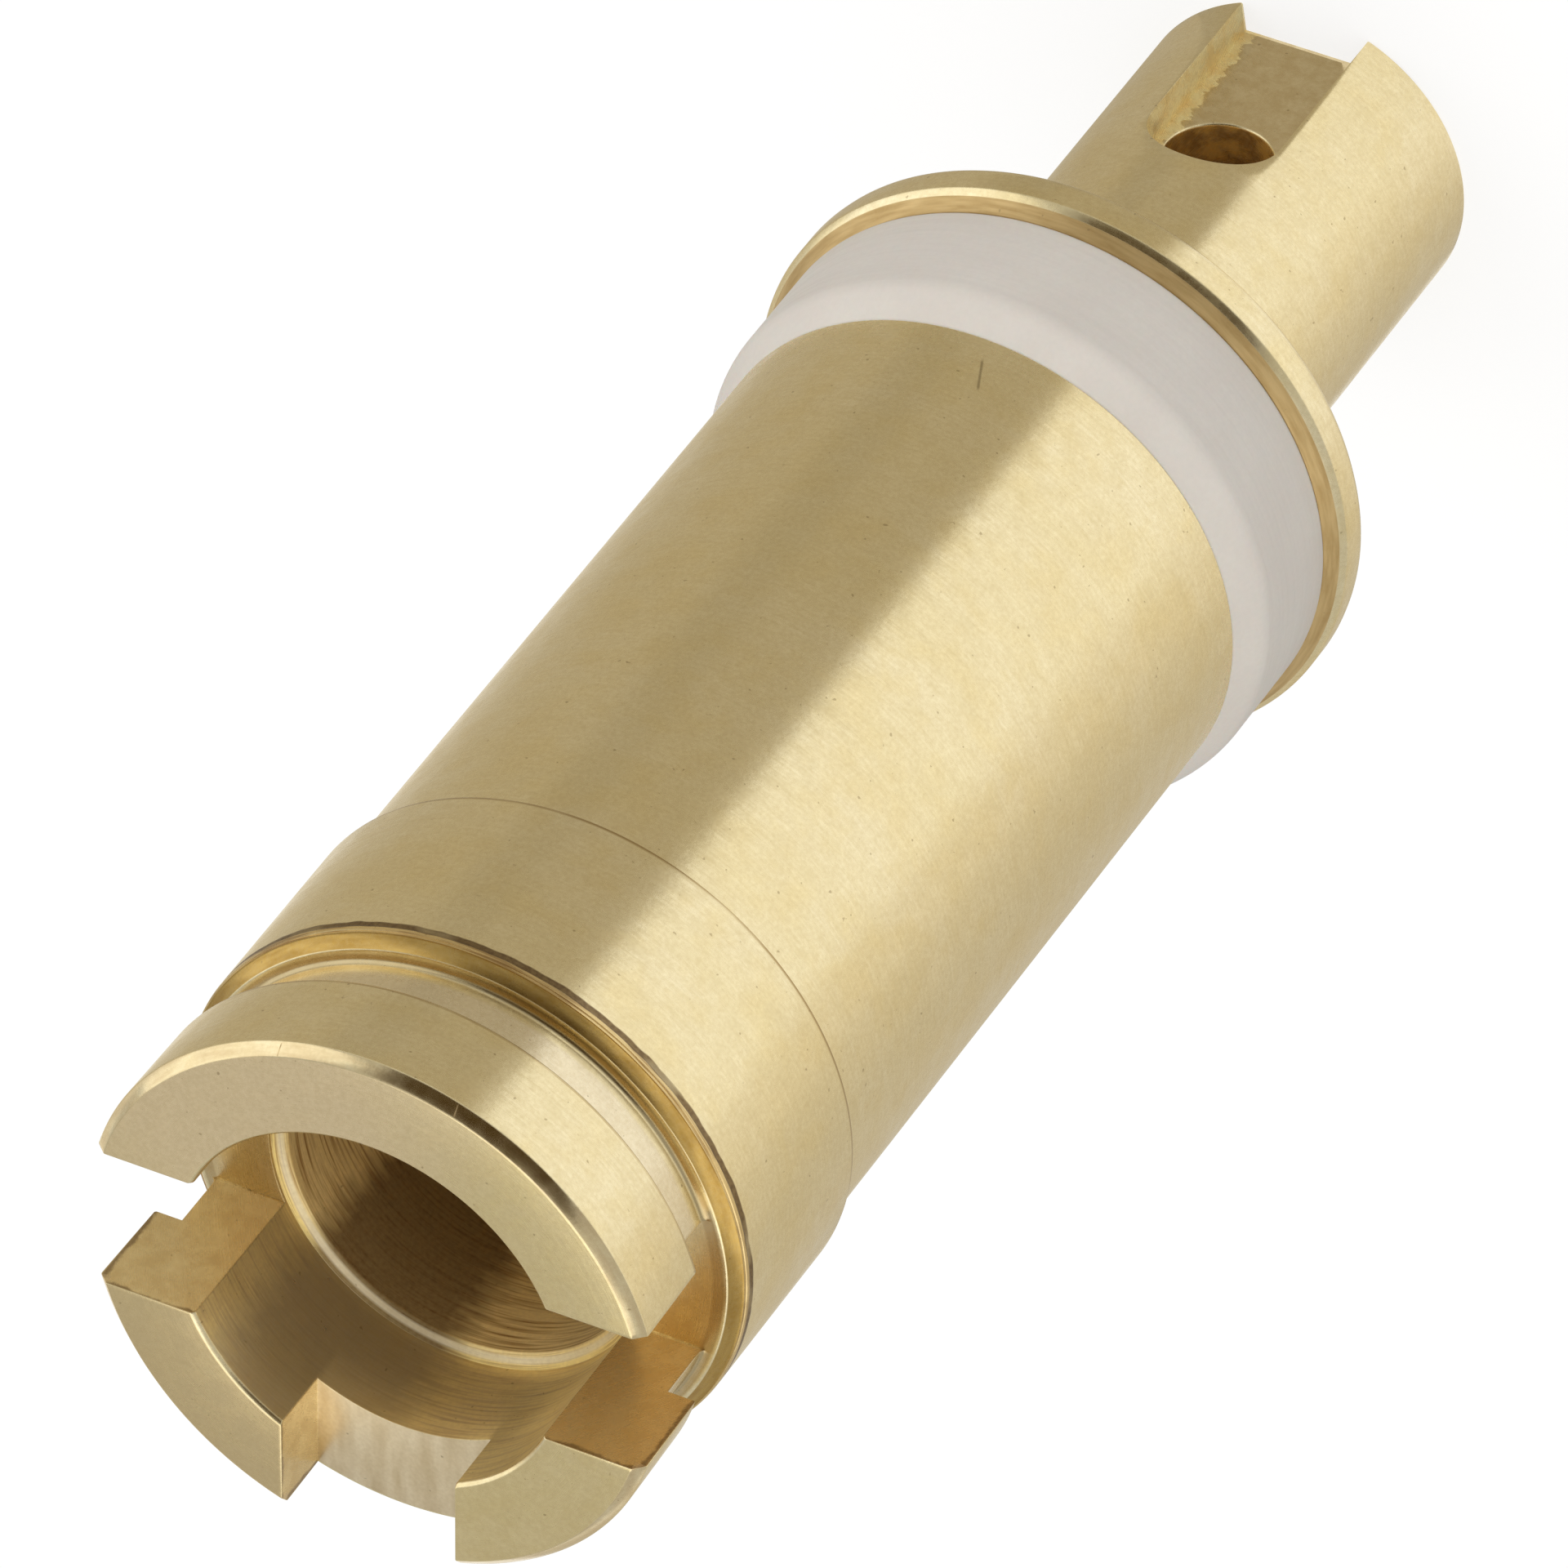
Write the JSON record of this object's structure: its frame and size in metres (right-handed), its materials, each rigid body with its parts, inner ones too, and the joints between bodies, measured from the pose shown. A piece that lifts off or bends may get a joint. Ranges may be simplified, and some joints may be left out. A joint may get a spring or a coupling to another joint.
{
  "type": "turned brass body with seal ring",
  "caption": "Satin brass turned body with a slotted hollow nose, a white plastic seal ring, a thin flange and a slotted shank.",
  "frame": {"origin": "centre of the tail face, on the turning axis", "axes": "+Z along the turning axis, from the tail to the slotted nose; +X along the slot that crosses the nose; -Y towards the shank's slot"},
  "size_m": [0.0136, 0.0136, 0.0416],
  "materials": {
    "brass": "satin, turned",
    "ring_plastic": "matt, slightly translucent"
  },
  "bodies": {
    "root": {"turned_body": "brass", "seal_ring": "ring_plastic"}
  },
  "joints": []
}
